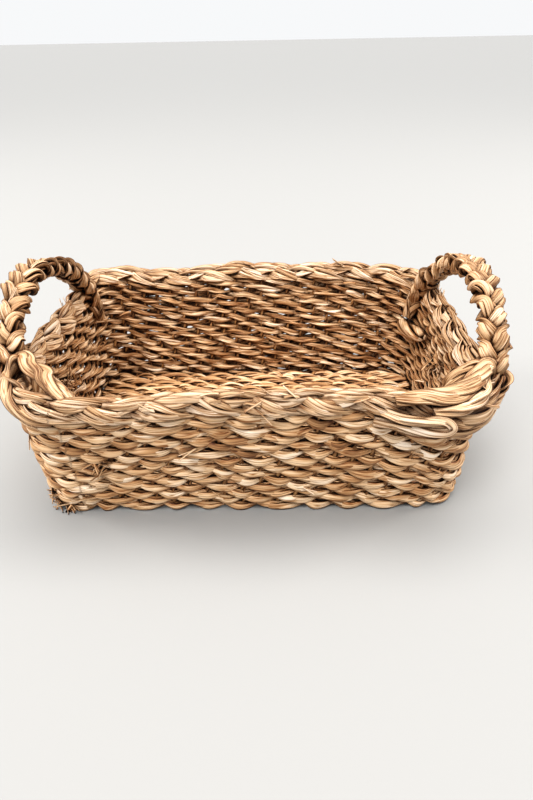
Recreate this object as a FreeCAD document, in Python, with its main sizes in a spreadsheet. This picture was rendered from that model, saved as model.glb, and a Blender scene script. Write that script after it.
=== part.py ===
"""Bread basket: a rectangular twined basket of seagrass cord with a plaited rim and two plaited handles.

X runs along the basket's length, Y across it and Z up. The origin is on the table, under the middle of the
base. Stakes run across the floor and up the walls. Each wall course is a pair of weavers, one outside the
stakes and one inside them. Floor rows are the same pair laid over and under the cross stakes.
"""
import FreeCAD
import Part

import math
import os

import Sketcher
from FreeCAD import Placement, Rotation, Vector

# Driving dimensions in millimetres, except for the counts. The handle's turns and the corner stakes' first
# place and step are in degrees.
DIMENSIONS = {
    "rim_half_length": 150.0,
    "rim_half_width": 115.0,
    "rim_corner": 32.0,
    "rim_level": 98.5,
    "base_half_length": 147.0,
    "base_half_width": 95.0,
    "base_corner": 28.0,
    "stake_radius": 1.9,
    "stake_bend": 5.0,
    "stake_top": 88.4,
    "strand_thickness": 2.9,
    "strand_gap": 0.2,
    "strand_edge": 1.2,
    "course_count": 13,
    "first_course": 5.0,
    "course_pitch": 6.6,
    "cross_stake_count": 20,
    "cross_stake_span": 233.0,
    "end_stake_count": 12,
    "end_stake_span": 132.0,
    "end_stake_foot": 21.5,
    "corner_stake_foot": 8.0,
    "corner_stake_count": 4,
    "corner_stake_first": 14.0,
    "corner_stake_step": 21.0,
    "floor_row_count": 27,
    "floor_margin": 8.0,
    "rim_plait_periods": 10,
    "rim_strand_radius": 3.35,
    "rim_plait_width": 6.6,
    "rim_plait_depth": 4.3,
    "handle_plait_periods": 4,
    "handle_strand_radius": 2.85,
    "handle_plait_width": 6.3,
    "handle_plait_depth": 4.8,
    "handle_front_foot": 80.0,
    "handle_back_foot": 82.0,
    "handle_front_reach": 153.5,
    "handle_back_reach": 141.0,
    "handle_bow": 9.0,
    "handle_rise": 66.0,
    "handle_front_tuck": 9.0,
    "handle_back_tuck": 31.0,
    "handle_front_turn": 24.0,
    "handle_back_turn": 135.0,
    "handle_front_tail": 14.0,
    "handle_tail_spacing": 6.3,
    "tie_strand_radius": 2.8,
    "tie_twist_length": 32.0,
    "tie_back": 92.0,
    "tie_middle": 73.0,
    "tie_front": 30.0,
    "tie_back_level": 56.0,
    "tie_middle_level": 60.5,
    "tie_front_level": 76.0,
}
PLAIT_STRANDS = 3
TIE_STRANDS = 2
# How finely the plaited cords are drawn.
POLES_PER_PERIOD = 12
CORD_SIDES = 8
HANDLE_STEPS = 10
TAIL_STEPS = 6
# An edge whose height is below this lies level.
LEVEL_LIMIT = 1e-6

doc = FreeCAD.newDocument("bread_basket")
sheet = doc.addObject("Spreadsheet::Sheet", "sizes")
for row, (alias, value) in enumerate(DIMENSIONS.items(), start=1):
    sheet.set(f"A{row}", alias)
    sheet.set(f"B{row}", str(value))
    sheet.setAlias(f"B{row}", alias)
doc.recompute()


def size(alias):
    """A driving dimension's present value."""
    return float(sheet.get(alias))


FLOOR_LEVEL = "(sizes.strand_thickness + sizes.strand_gap + sizes.stake_radius)"
FACE_OFFSET = "(sizes.stake_radius + sizes.strand_gap)"
BACK_OFFSET = f"({FACE_OFFSET} + sizes.strand_thickness)"
STRAND_HEIGHT = "(sizes.course_pitch - sizes.strand_gap)"


def share_at(level):
    """How far up the wall a level is, from 0 at the floor's stakes to 1 at the rim, as an expression."""
    return f"((({level}) - {FLOOR_LEVEL}) / (sizes.rim_level - {FLOOR_LEVEL}))"


def wall_size(what, level):
    """The stake line's half_length, half_width or corner at a level, as an expression."""
    return f"(sizes.base_{what} + (sizes.rim_{what} - sizes.base_{what}) * {share_at(level)})"


def lean(what):
    """A wall's lean from vertical, as an expression in degrees."""
    return f"atan((sizes.rim_{what} - sizes.base_{what}) / (sizes.rim_level - {FLOOR_LEVEL}))"


def number(expression):
    """An expression's present value as a plain number."""
    value = sheet.evalExpression(expression)
    return float(getattr(value, "Value", value))


def new_body(label):
    body = doc.addObject("PartDesign::Body", label)
    body.Label = label
    body.AllowCompound = True
    return body


def origin_feature(body, role):
    return next(f for f in body.Origin.OriginFeatures if f.Role == role)


def new_sketch(body, name, plane, offset=None, tilt=None):
    """A sketch on one of the body's own origin planes, shifted by expressions along the sketch's axes."""
    sketch = body.newObject("Sketcher::SketchObject", name)
    sketch.AttachmentSupport = [(origin_feature(body, plane), "")]
    sketch.MapMode = "FlatFace"
    if tilt:
        axis, angle = tilt
        sketch.AttachmentOffset = Placement(Vector(), Rotation(axis, number(angle)))
        sketch.setExpression(".AttachmentOffset.Rotation.Angle", angle)
    for axis, expression in (offset or {}).items():
        sketch.setExpression(f".AttachmentOffset.Base.{axis}", expression)
    return sketch


def dimension(sketch, kind, *elements, expression):
    """Adds a dimension whose value is bound to an expression."""
    index = sketch.addConstraint(Sketcher.Constraint(kind, *elements, number(expression)))
    sketch.setExpression(f"Constraints[{index}]", expression)


def draw_rounded_rectangle(sketch, half_x, half_y, corner):
    """A rounded rectangle centred on the sketch's origin. Its three sizes are expressions."""
    x, y, r = number(half_x), number(half_y), number(corner)
    sides = [
        (Vector(r - x, -y, 0), Vector(x - r, -y, 0)),
        (Vector(x, r - y, 0), Vector(x, y - r, 0)),
        (Vector(x - r, y, 0), Vector(r - x, y, 0)),
        (Vector(-x, y - r, 0), Vector(-x, r - y, 0)),
    ]
    centres = [
        Vector(x - r, r - y, 0),
        Vector(x - r, y - r, 0),
        Vector(r - x, y - r, 0),
        Vector(r - x, r - y, 0),
    ]
    lines, arcs = [], []
    for quarter, ((start, end), centre) in enumerate(zip(sides, centres)):
        lines.append(sketch.addGeometry(Part.LineSegment(start, end), False))
        turn = math.pi / 2
        first = (quarter - 1) * turn
        circle = Part.Circle(centre, Vector(0, 0, 1), r)
        arcs.append(sketch.addGeometry(Part.ArcOfCircle(circle, first, first + turn), False))
    for i in range(4):
        sketch.addConstraint(Sketcher.Constraint("Tangent", lines[i], 2, arcs[i], 1))
        sketch.addConstraint(Sketcher.Constraint("Tangent", arcs[i], 2, lines[(i + 1) % 4], 1))
        sketch.addConstraint(Sketcher.Constraint("Vertical" if i % 2 else "Horizontal", lines[i]))
    for i in range(1, 4):
        sketch.addConstraint(Sketcher.Constraint("Equal", arcs[0], arcs[i]))
    dimension(sketch, "Radius", arcs[0], expression=corner)
    dimension(sketch, "DistanceX", -1, 1, lines[1], 1, expression=half_x)
    dimension(sketch, "DistanceX", lines[3], 1, -1, 1, expression=half_x)
    dimension(sketch, "DistanceY", -1, 1, lines[2], 1, expression=half_y)
    dimension(sketch, "DistanceY", lines[0], 1, -1, 1, expression=half_y)


def round_level_edges(body, feature, radius):
    """Fillets every edge of the feature that lies level."""
    doc.recompute()
    edges = [f"Edge{i}" for i, e in enumerate(feature.Shape.Edges, 1) if e.BoundBox.ZLength < LEVEL_LIMIT]
    fillet = body.newObject("PartDesign::Fillet", body.Label + "_rounding")
    fillet.Base = (feature, edges)
    fillet.setExpression("Radius", radius)
    body.Tip = fillet


def make_wall_course(index):
    """One course: a weaver round the outside of the stakes and a weaver round the inside of them.

    The lowest course is level with the floor, so it has only the outside weaver.
    """
    label = f"wall_course_{index + 1:02d}"
    body = new_body(label)
    level = f"(sizes.first_course + {index} * sizes.course_pitch)"
    sketch = new_sketch(body, label + "_plan", "XY_Plane", {"z": f"{level} - {STRAND_HEIGHT} / 2"})
    offsets = [BACK_OFFSET, FACE_OFFSET]
    if index > 0:
        offsets += ["-" + FACE_OFFSET, "-" + BACK_OFFSET]
    for offset in offsets:
        draw_rounded_rectangle(
            sketch,
            f"{wall_size('half_length', level)} + {offset}",
            f"{wall_size('half_width', level)} + {offset}",
            f"{wall_size('corner', level)} + {offset}",
        )
    pad = body.newObject("PartDesign::Pad", label + "_height")
    pad.Profile = sketch
    pad.setExpression("Length", STRAND_HEIGHT)
    round_level_edges(body, pad, "sizes.strand_edge")
    return body


def make_floor_strands(label, level):
    """One layer of the floor's rows: straight strands along X, trimmed to the base's rounded outline."""
    body = new_body(label)
    first_row = "(sizes.floor_row_count - 1) / 2 * sizes.course_pitch"
    section = new_sketch(body, label + "_section", "YZ_Plane", {"x": f"-{first_row}", "y": level})
    draw_rounded_rectangle(section, f"{STRAND_HEIGHT} / 2", "sizes.strand_thickness / 2", "sizes.strand_edge")
    pad = body.newObject("PartDesign::Pad", label + "_length")
    pad.Profile = section
    pad.Midplane = True
    pad.setExpression("Length", "2 * sizes.base_half_length")
    doc.recompute()
    rows = body.newObject("PartDesign::LinearPattern", label + "_rows")
    rows.Originals = [pad]
    rows.Direction = (section, ["H_Axis"])
    rows.setExpression("Length", f"2 * {first_row}")
    rows.setExpression("Occurrences", "sizes.floor_row_count")
    body.Tip = rows
    doc.recompute()
    outline = new_sketch(body, label + "_outline", "XY_Plane")
    half_length = "(sizes.base_half_length - sizes.floor_margin)"
    half_width = f"({first_row} + {STRAND_HEIGHT})"
    draw_rounded_rectangle(outline, half_length, half_width, "(sizes.base_corner - sizes.floor_margin)")
    spare = "(sizes.floor_margin + 2 * sizes.course_pitch)"
    draw_rounded_rectangle(
        outline, f"{half_length} + {spare}", f"{half_width} + {spare}", "sizes.base_corner")
    trim = body.newObject("PartDesign::Pocket", label + "_trim")
    trim.Profile = outline
    trim.Type = "ThroughAll"
    trim.Midplane = True
    body.Tip = trim
    doc.recompute()
    if trim.Shape.Volume >= rows.Shape.Volume:
        raise RuntimeError(f"{label}: the trim cut nothing")
    return body


def make_upright_stakes(label, half_size, plane, across, pattern_axis, count, span, side=None):
    """A row of stakes that lie in the floor and stand in the wall.

    With no side, each stake is a U that stands in both long walls. With side 1 or -1 it's an L in one
    end wall, whose foot ends short of the cross stakes.
    """
    body = new_body(label)
    top = "sizes.stake_top"
    top_reach = wall_size(half_size, top)
    path = new_sketch(body, label + "_path", plane, {"z": across})
    t, f, bend = number(top), number(FLOOR_LEVEL), number("sizes.stake_bend")
    tilt = math.radians(number(lean(half_size)))
    setback = bend * math.tan((math.pi / 2 - tilt) / 2)
    base = number(f"sizes.base_{half_size}")
    reach = number(top_reach)
    signs = (-1, 1) if side is None else (side,)
    floor_ends = []
    uprights = []
    for sign in signs:
        low = Vector(sign * (base + setback * math.sin(tilt)), f + setback * math.cos(tilt), 0)
        high = Vector(sign * reach, t, 0)
        level_end = Vector(sign * (base - setback), f, 0)
        centre = Vector(level_end.x, f + bend, 0)
        upright = sketch_line(path, low, high)
        circle = Part.Circle(centre, Vector(0, 0, 1), bend)
        if sign > 0:
            first, last = -math.pi / 2, -tilt
            level_join, wall_join = 1, 2
        else:
            first, last = math.pi + tilt, 1.5 * math.pi
            level_join, wall_join = 2, 1
        arc = path.addGeometry(Part.ArcOfCircle(circle, first, last), False)
        path.addConstraint(Sketcher.Constraint("Tangent", upright, 1, arc, wall_join))
        dimension(path, "Radius", arc, expression="sizes.stake_bend")
        place_point(path, upright, 2, sign, top_reach, top)
        floor_ends.append((arc, level_join, level_end))
        uprights.append((upright, sign))
    if side is None:
        floor = sketch_line(path, floor_ends[0][2], floor_ends[1][2])
        path.addConstraint(Sketcher.Constraint("Tangent", floor, 2, floor_ends[1][0], floor_ends[1][1]))
    else:
        foot_end = side * (base - bend - size("end_stake_foot"))
        floor = sketch_line(path, floor_ends[0][2], Vector(foot_end, f, 0))
        foot_reach = f"(sizes.base_{half_size} - sizes.stake_bend - sizes.end_stake_foot)"
        place_point(path, floor, 2, side, foot_reach)
    path.addConstraint(Sketcher.Constraint("Tangent", floor, 1, floor_ends[0][0], floor_ends[0][1]))
    path.addConstraint(Sketcher.Constraint("Horizontal", floor))
    dimension(path, "DistanceY", -1, 1, floor, 1, expression=FLOOR_LEVEL)
    for upright, sign in uprights:
        path.addConstraint(Sketcher.Constraint("Angle", upright, math.pi / 2 - sign * tilt))
        path.setExpression(f"Constraints[{path.ConstraintCount - 1}]", f"90 deg - {sign} * {lean(half_size)}")
    top_sign = signs[0]
    start = {"x": across, "y": f"{top_sign} * {top_reach}", "z": top}
    turn = (Vector(1, 0, 0), f"-{top_sign} * {lean(half_size)}")
    if plane == "XZ_Plane":
        start = {"x": f"{top_sign} * {top_reach}", "y": f"-({across})", "z": top}
        turn = (Vector(0, 1, 0), f"{top_sign} * {lean(half_size)}")
    section = new_sketch(body, label + "_section", "XY_Plane", start, turn)
    section.addGeometry(Part.Circle(Vector(), Vector(0, 0, 1), number("sizes.stake_radius")), False)
    section.addConstraint(Sketcher.Constraint("Coincident", 0, 3, -1, 1))
    dimension(section, "Radius", 0, expression="sizes.stake_radius")
    pipe = body.newObject("PartDesign::AdditivePipe", label + "_rod")
    pipe.Profile = section
    pipe.Spine = path
    body.Tip = pipe
    doc.recompute()
    stakes = body.newObject("PartDesign::LinearPattern", label + "_row")
    stakes.Originals = [pipe]
    stakes.Direction = (origin_feature(body, pattern_axis), [""])
    stakes.setExpression("Length", span)
    stakes.setExpression("Occurrences", count)
    body.Tip = stakes
    return body


def sketch_line(sketch, start, end):
    return sketch.addGeometry(Part.LineSegment(start, end), False)


def place_point(sketch, geometry, point, sign, reach, level=None):
    """Dimensions a point from the sketch's origin: its reach to the side that sign gives, and its level."""
    ends = (-1, 1, geometry, point) if sign > 0 else (geometry, point, -1, 1)
    dimension(sketch, "DistanceX", *ends, expression=reach)
    if level:
        dimension(sketch, "DistanceY", -1, 1, geometry, point, expression=level)


def pole_gain(poles_per_turn):
    """How far past a periodic smooth curve its control points lie, for the curve itself to keep its size."""
    return 6 / (4 + 2 * math.cos(2 * math.pi / poles_per_turn))


def cord(points, outwards, radius, closed=False):
    """A round cord that follows the points. An outward direction at each point keeps it from twisting."""
    count = len(points)
    rings = []
    for i, (point, outward) in enumerate(zip(points, outwards)):
        before = points[i - 1] if closed or i else point
        after = points[(i + 1) % count] if closed or i + 1 < count else point
        along = (after - before).normalize()
        side = (outward - along * outward.dot(along)).normalize()
        up = along.cross(side)
        ring = []
        for corner in range(CORD_SIDES):
            turn = 2 * math.pi * corner / CORD_SIDES
            reach = radius * pole_gain(CORD_SIDES)
            ring.append(point + side * (reach * math.cos(turn)) + up * (reach * math.sin(turn)))
        rings.append(ring)
    if closed:
        knots = list(range(count + 1))
        repeats = [1] * len(knots)
    else:
        knots = list(range(count - 2))
        repeats = [4] + [1] * (len(knots) - 2) + [4]
    ring_knots = list(range(CORD_SIDES + 1))
    surface = Part.BSplineSurface()
    surface.buildFromPolesMultsKnots(
        rings, repeats, [1] * len(ring_knots), knots, ring_knots, closed, True, 3, 3)
    skin = surface.toShape()
    if closed:
        return Part.Solid(Part.Shell([skin]))
    # The skin's only closed edges as short as this are the circles at its two ends.
    longest_end = 1.1 * 2 * math.pi * radius
    ends = [edge for edge in skin.Edges if edge.isClosed() and edge.Length < longest_end]
    shell = Part.Shell([skin] + [Part.Face(Part.Wire(edge)) for edge in ends])
    shell.sewShape()
    return Part.Solid(shell)


def smooth_curve(points):
    curve = Part.BSplineCurve()
    curve.interpolate(Points=points)
    return curve


def add_shape(label, shape):
    """A sub-part whose shape is made here from the sheet's sizes."""
    feature = doc.addObject("Part::Feature", label)
    feature.Label = label
    feature.Shape = shape
    feature.Placement = Placement()
    return feature


def wall_point(corner_x, corner_y, angle, level):
    """A point on the stake line in a rounded corner. The angle is 0 where it faces out of a long wall."""
    half_length = number(wall_size("half_length", str(level)))
    half_width = number(wall_size("half_width", str(level)))
    radius = number(wall_size("corner", str(level)))
    x = half_length - radius + radius * math.sin(angle)
    y = half_width - radius + radius * math.cos(angle)
    return Vector(corner_x * x, corner_y * y, level)


def make_corner_stakes():
    """The short stakes in each rounded corner, each a smooth bend from a small foot in the floor."""
    floor, top, bend = number(FLOOR_LEVEL), size("stake_top"), size("stake_bend")
    first, step = size("corner_stake_first"), size("corner_stake_step")
    turns = [math.radians(first + i * step) for i in range(int(size("corner_stake_count")))]
    rods = []
    for corner_x in (-1, 1):
        for corner_y in (-1, 1):
            for angle in turns:
                low = wall_point(corner_x, corner_y, angle, floor)
                high = wall_point(corner_x, corner_y, angle, top)
                inward = Vector(-corner_x * math.sin(angle), -corner_y * math.cos(angle), 0)
                foot = low + inward * (bend + size("corner_stake_foot"))
                rise = (high - low).normalize()
                wire = rounded_path(foot, low, high, inward, rise, bend)
                circle = Part.Wire(Part.Circle(high, rise, size("stake_radius")).toShape())
                rods.append(wire.makePipeShell([circle], True, False))
    return add_shape("corner_stakes", Part.makeCompound(rods))


def rounded_path(foot, corner, top, inward, rise, bend):
    """A path from top down to the foot, with an arc of radius bend in place of the corner."""
    half_turn = inward.getAngle(rise) / 2
    setback = bend / math.tan(half_turn)
    leave, arrive = corner + rise * setback, corner + inward * setback
    middle_way = (inward + rise).normalize()
    middle = corner + middle_way * (bend / math.sin(half_turn) - bend)
    edges = [
        Part.LineSegment(top, leave).toShape(),
        Part.Arc(leave, middle, arrive).toShape(),
        Part.LineSegment(arrive, foot).toShape(),
    ]
    return Part.Wire(edges)


def rim_frame(distance):
    """The point on the rim's centre line at a distance along it, and the outward direction there."""
    x, y, r = size("rim_half_length"), size("rim_half_width"), size("rim_corner")
    sides = [
        (2 * (x - r), Vector(r - x, -y, 0), Vector(1, 0, 0)),
        (2 * (y - r), Vector(x, r - y, 0), Vector(0, 1, 0)),
        (2 * (x - r), Vector(x - r, y, 0), Vector(-1, 0, 0)),
        (2 * (y - r), Vector(-x, y - r, 0), Vector(0, -1, 0)),
    ]
    arc = r * math.pi / 2
    distance %= sum(side[0] for side in sides) + 4 * arc
    for length, start, along in sides:
        outward = Vector(along.y, -along.x, 0)
        if distance <= length:
            return start + along * distance, outward
        distance -= length
        if distance <= arc:
            centre = start + along * length - outward * r
            turned = outward * math.cos(distance / r) + along * math.sin(distance / r)
            return centre + turned * r, turned
        distance -= arc
    raise RuntimeError("the distance is past the rim's end")


def make_rim_strand(index):
    """One of the three strands plaited round the top of the wall."""
    perimeter = 4 * (size("rim_half_length") + size("rim_half_width") - 2 * size("rim_corner"))
    perimeter += 2 * math.pi * size("rim_corner")
    periods = int(size("rim_plait_periods"))
    width = size("rim_plait_width") * pole_gain(POLES_PER_PERIOD)
    depth = size("rim_plait_depth") * pole_gain(POLES_PER_PERIOD / 2)
    points, outwards = [], []
    for pole in range(periods * POLES_PER_PERIOD):
        turns = pole / POLES_PER_PERIOD
        phase = 2 * math.pi * (turns + index / PLAIT_STRANDS)
        centre, outward = rim_frame(perimeter * turns / periods)
        height = size("rim_level") + width * math.sin(phase)
        points.append(centre + outward * (depth * math.sin(2 * phase)) + Vector(0, 0, height))
        outwards.append(outward)
    return add_shape(f"rim_strand_{index + 1}", cord(points, outwards, size("rim_strand_radius"), True))


def handle_centre_line(side):
    """The middle of a handle's plait: an arch over the rim, from its front foot to its back foot."""
    front_reach, back_reach = size("handle_front_reach"), size("handle_back_reach")
    front, back = -size("handle_front_foot"), size("handle_back_foot")
    front_level = size("rim_level") - size("handle_front_tuck")
    back_level = size("rim_level") - size("handle_back_tuck")
    first, last = math.radians(size("handle_front_turn")), math.radians(size("handle_back_turn"))
    points = []
    for step in range(HANDLE_STEPS + 1):
        turn = first + (last - first) * step / HANDLE_STEPS
        share = (1 - math.cos(turn)) / 2
        reach = front_reach + (back_reach - front_reach) * share + size("handle_bow") * math.sin(turn)
        across = front + (back - front) * share
        level = front_level + (back_level - front_level) * share + size("handle_rise") * math.sin(turn)
        points.append(Vector(side * reach, across, level))
    return smooth_curve(points)


def handle_tail(side, outside, across, end_level):
    """Points down beside the rim plait, from just above it to the tail's end."""
    radii = size("rim_strand_radius") + size("handle_strand_radius")
    clear = size("rim_plait_depth") + size("strand_gap") + radii
    reach = size("rim_half_length") + (clear if outside else -clear)
    top = size("rim_level") + size("rim_plait_width") + radii
    drop = (top - end_level) / TAIL_STEPS
    return [Vector(side * reach, across, top - drop * step) for step in range(TAIL_STEPS + 1)]


def make_handle_strand(side, name, index):
    """One of a handle's three plaited strands, with its tail tucked beside the rim at each foot.

    At the front one strand's tail goes inside the rim and the other two go outside. At the back all three go
    inside.
    """
    line = handle_centre_line(side)
    length = line.length()
    periods = int(size("handle_plait_periods"))
    steps = periods * POLES_PER_PERIOD
    width = size("handle_plait_width") * pole_gain(POLES_PER_PERIOD)
    depth = size("handle_plait_depth") * pole_gain(POLES_PER_PERIOD / 2)
    sideways = Vector(side, 0, 0)
    points = []
    for step in range(steps + 1):
        along = line.parameterAtDistance(length * step / steps)
        phase = 2 * math.pi * (step / POLES_PER_PERIOD + index / PLAIT_STRANDS)
        tangent = line.tangent(along)[0]
        reach = (sideways - tangent * sideways.dot(tangent)).normalize()
        radial = reach.cross(tangent) * side
        offset = reach * (width * math.sin(phase)) + radial * (depth * math.sin(2 * phase))
        points.append(line.value(along) + offset)
    place = (0, 1, -1)[index]
    spacing = size("handle_tail_spacing")
    front_across = line.value(line.FirstParameter).y + place * spacing
    back_across = line.value(line.LastParameter).y - place * spacing
    front_end = size("rim_level") - size("handle_front_tail")
    back_end = size("rim_level") - size("handle_back_tuck")
    front_tail = handle_tail(side, place >= 0, front_across, front_end)
    back_tail = handle_tail(side, False, back_across, back_end)
    points = front_tail[::-1] + points + back_tail
    outwards = [sideways] * len(points)
    label = f"{name}_handle_strand_{index + 1}"
    return add_shape(label, cord(points, outwards, size("handle_strand_radius")))


def tie_point(side, place):
    """A point on the foot tie's middle: back, middle or front. The tie lies against the end wall's inside."""
    level = size(f"tie_{place}_level")
    half_length = number(wall_size("half_length", str(level)))
    reach = half_length - number(BACK_OFFSET) - 2 * size("tie_strand_radius") - 5 * size("strand_gap")
    return Vector(side * reach, size(f"tie_{place}"), level)


def make_foot_tie(side, name):
    """The twisted cord that runs under a handle's back foot, along the inside of the end wall."""
    radius = size("tie_strand_radius")
    line = smooth_curve([tie_point(side, place) for place in ("back", "middle", "front")])
    length = line.length()
    steps = int(length / size("tie_twist_length") * POLES_PER_PERIOD)
    turn_radius = (radius + size("strand_gap")) * pole_gain(POLES_PER_PERIOD)
    cords = []
    for index in range(TIE_STRANDS):
        points, outwards = [], []
        for step in range(steps + 1):
            along = line.parameterAtDistance(length * step / steps)
            phase = 2 * math.pi * (step / POLES_PER_PERIOD + index / TIE_STRANDS)
            tangent = line.tangent(along)[0]
            upward = Vector(0, 0, 1)
            upward = (upward - tangent * upward.dot(tangent)).normalize()
            across = tangent.cross(upward)
            offset = (across * math.cos(phase) + upward * math.sin(phase)) * turn_radius
            points.append(line.value(along) + offset)
            outwards.append(upward)
        cords.append(cord(points, outwards, radius))
    return add_shape(f"{name}_foot_tie", Part.makeCompound(cords))


lower_level = "sizes.strand_thickness / 2"
upper_level = f"{FLOOR_LEVEL} + {FACE_OFFSET} + sizes.strand_thickness / 2"
subparts = [make_wall_course(index) for index in range(int(size("course_count")))]
subparts.append(make_floor_strands("floor_lower_strands", lower_level))
subparts.append(make_floor_strands("floor_upper_strands", upper_level))
subparts.append(make_upright_stakes(
    "cross_stakes", "half_width", "YZ_Plane", "-sizes.cross_stake_span / 2", "X_Axis",
    "sizes.cross_stake_count", "sizes.cross_stake_span"))
for side, name in ((-1, "left"), (1, "right")):
    subparts.append(make_upright_stakes(
        f"{name}_end_stakes", "half_length", "XZ_Plane", "sizes.end_stake_span / 2", "Y_Axis",
        "sizes.end_stake_count", "sizes.end_stake_span", side))
subparts.append(make_corner_stakes())
subparts += [make_rim_strand(index) for index in range(PLAIT_STRANDS)]
for side, name in ((-1, "left"), (1, "right")):
    subparts += [make_handle_strand(side, name, index) for index in range(PLAIT_STRANDS)]
subparts.append(make_foot_tie(1, "right"))

doc.recompute()
for item in doc.Objects:
    if {"Invalid", "Error"} & set(item.State):
        raise RuntimeError(f"{item.Label} failed: {item.State}")
for part in subparts:
    if part.Shape.isNull() or not part.Shape.isValid() or not part.Shape.Solids:
        raise RuntimeError(f"{part.Label} has no valid shape")

os.makedirs("parts", exist_ok=True)
for part in subparts:
    part.Shape.exportStep(os.path.join("parts", part.Label + ".step"))
    print(part.Label, len(part.Shape.Solids), "solids", round(part.Shape.Volume), "mm3")
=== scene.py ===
"""Bread basket: the looks of a hand-woven seagrass basket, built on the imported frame.

Every strand is a bundle of dried leaves. The walls and the floor are twined: two strands take two stakes at a
time, one on each side, and cross. The rim and the handles are three-strand plaits.
"""
import math

import bpy
import numpy as np
from mathutils import Matrix, Vector


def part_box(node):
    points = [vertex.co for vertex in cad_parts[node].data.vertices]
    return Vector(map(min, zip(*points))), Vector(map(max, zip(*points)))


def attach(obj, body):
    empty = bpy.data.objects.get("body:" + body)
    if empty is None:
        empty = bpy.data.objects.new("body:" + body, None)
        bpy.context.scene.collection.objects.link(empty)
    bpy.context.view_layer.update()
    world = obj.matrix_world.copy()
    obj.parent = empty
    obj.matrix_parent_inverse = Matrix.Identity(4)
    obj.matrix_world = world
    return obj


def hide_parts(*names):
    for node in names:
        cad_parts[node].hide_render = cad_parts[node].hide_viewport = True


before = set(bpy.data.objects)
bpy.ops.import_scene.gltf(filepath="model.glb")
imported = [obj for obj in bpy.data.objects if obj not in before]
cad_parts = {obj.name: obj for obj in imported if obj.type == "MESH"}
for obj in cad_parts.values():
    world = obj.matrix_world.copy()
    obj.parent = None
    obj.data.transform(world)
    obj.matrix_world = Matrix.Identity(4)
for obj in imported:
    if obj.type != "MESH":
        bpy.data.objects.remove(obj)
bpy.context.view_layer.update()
MM = 0.001

# ---------------------------------------------------------------- sizes, in metres
SIDES = 8                      # corners round each leaf's section
LENS = 0.25                    # how far a leaf's section thins towards its margins, where 0 is an ellipse
CURL = 0.16                    # how far a leaf's margins turn down, as a share of its half width
STEPS = 7                      # rings per stake spacing along a strand
STAKE_RADIUS = 1.9 * MM
WALL_HALF_DEPTH = 5.0 * MM     # from the stake line to a course's outer face
CORNER_LOW = 28 * MM
CORNER_HIGH = 32 * MM
LONG_STAKES = 20
LONG_SPAN = 233 * MM
END_STAKES = 12
END_SPAN = 132 * MM
CORNER_TURNS = (14, 35, 56, 77)  # degrees from the long wall, as the corner stakes stand
COURSES = sum(name.startswith("wall_course_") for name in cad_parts)
COURSE_SEED_STEP = 17
FLOOR_ROWS = 27
FLOOR_SEED_STEP = 13

# A bundle of leaves: a leaf's half width and half thickness, how many, their spread across and their lift.
RIM_BUNDLE = (2.2 * MM, 0.65 * MM, 6, 3.6 * MM, 1.0 * MM)
HANDLE_BUNDLE = (3.1 * MM, 1.05 * MM, 4, 2.5 * MM, 1.8 * MM)
FOLD_BUNDLE = (2.6 * MM, 0.5 * MM, 3, 1.2 * MM, 0.6 * MM)

# Where each part's random numbers start.
STAKE_SEED = 40
FOOT_TIE_SEED = 77
FLOOR_STAKE_SEED = 140
COURSE_SEED = 1000
TOP_ROW_SEED = 1900
FLOOR_SEED = 3000
RIM_SEED = 5000
FOLD_SEED = 5900
HANDLE_SEED = 6000
BAND_SEED = 6900
COURSE_ENDS_SEED = 8000
HANDLE_ENDS_SEED = 9100
RIM_ENDS_SEED = 9300


def middle(node):
    """The middle of a CAD node's box."""
    low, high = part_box(node)
    return (np.array(low) + np.array(high)) / 2


def half(node):
    """Half the sides of a CAD node's box."""
    low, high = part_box(node)
    return (np.array(high) - np.array(low)) / 2


TOP_COURSE = f"wall_course_{COURSES}"
LOW_LEVEL = middle("wall_course_01")[2]
HIGH_LEVEL = middle(TOP_COURSE)[2]
LOW_HALF = half("wall_course_01")[:2] - WALL_HALF_DEPTH
HIGH_HALF = half(TOP_COURSE)[:2] - WALL_HALF_DEPTH
RIM_LEVEL = middle("rim_strand_1")[2]
RIM_HALF = half("rim_strand_1")[:2]
RIM_INSET = 7.65 * MM          # from the rim's outer face to its middle line
FLOOR_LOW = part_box("floor_lower_strands")[0][2]
FLOOR_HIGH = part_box("floor_upper_strands")[1][2]
FLOOR_HALF = half("floor_upper_strands")[:2]


# ---------------------------------------------------------------- smooth random values
def drift(seed, place, count):
    """Smooth random values from -1 to 1 along place, which repeats every count."""
    values = np.random.default_rng(seed).uniform(-1, 1, count)
    index = np.floor(place).astype(int)
    share = ease_in_out(place - index)
    return values[index % count] * (1 - share) + values[(index + 1) % count] * share


def step_values(seed, place, count):
    """One random value from -1 to 1 for each whole number of place."""
    values = np.random.default_rng(seed).uniform(-1, 1, count)
    return values[np.floor(place).astype(int) % count]


def ease_in_out(share):
    """Turns a share from 0 to 1 into one that starts and ends gently."""
    return share * share * (3 - 2 * share)


def unit(vectors):
    """The vectors at length 1."""
    return vectors / np.maximum(np.linalg.norm(vectors, axis=-1, keepdims=True), 1e-12)


def distance_along(path):
    """How far along the path each of its points is."""
    return np.concatenate([[0], np.cumsum(np.linalg.norm(np.diff(path, axis=0), axis=1))])


def square_to(vectors, along):
    """The vectors turned square to along, at length 1."""
    return unit(vectors - along * np.sum(vectors * along, -1, keepdims=True))


def heading(path, closed=False):
    """The direction of a path at each of its points."""
    if closed:
        return unit(np.roll(path, -1, 0) - np.roll(path, 1, 0))
    return unit(np.gradient(path, axis=0))


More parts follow.
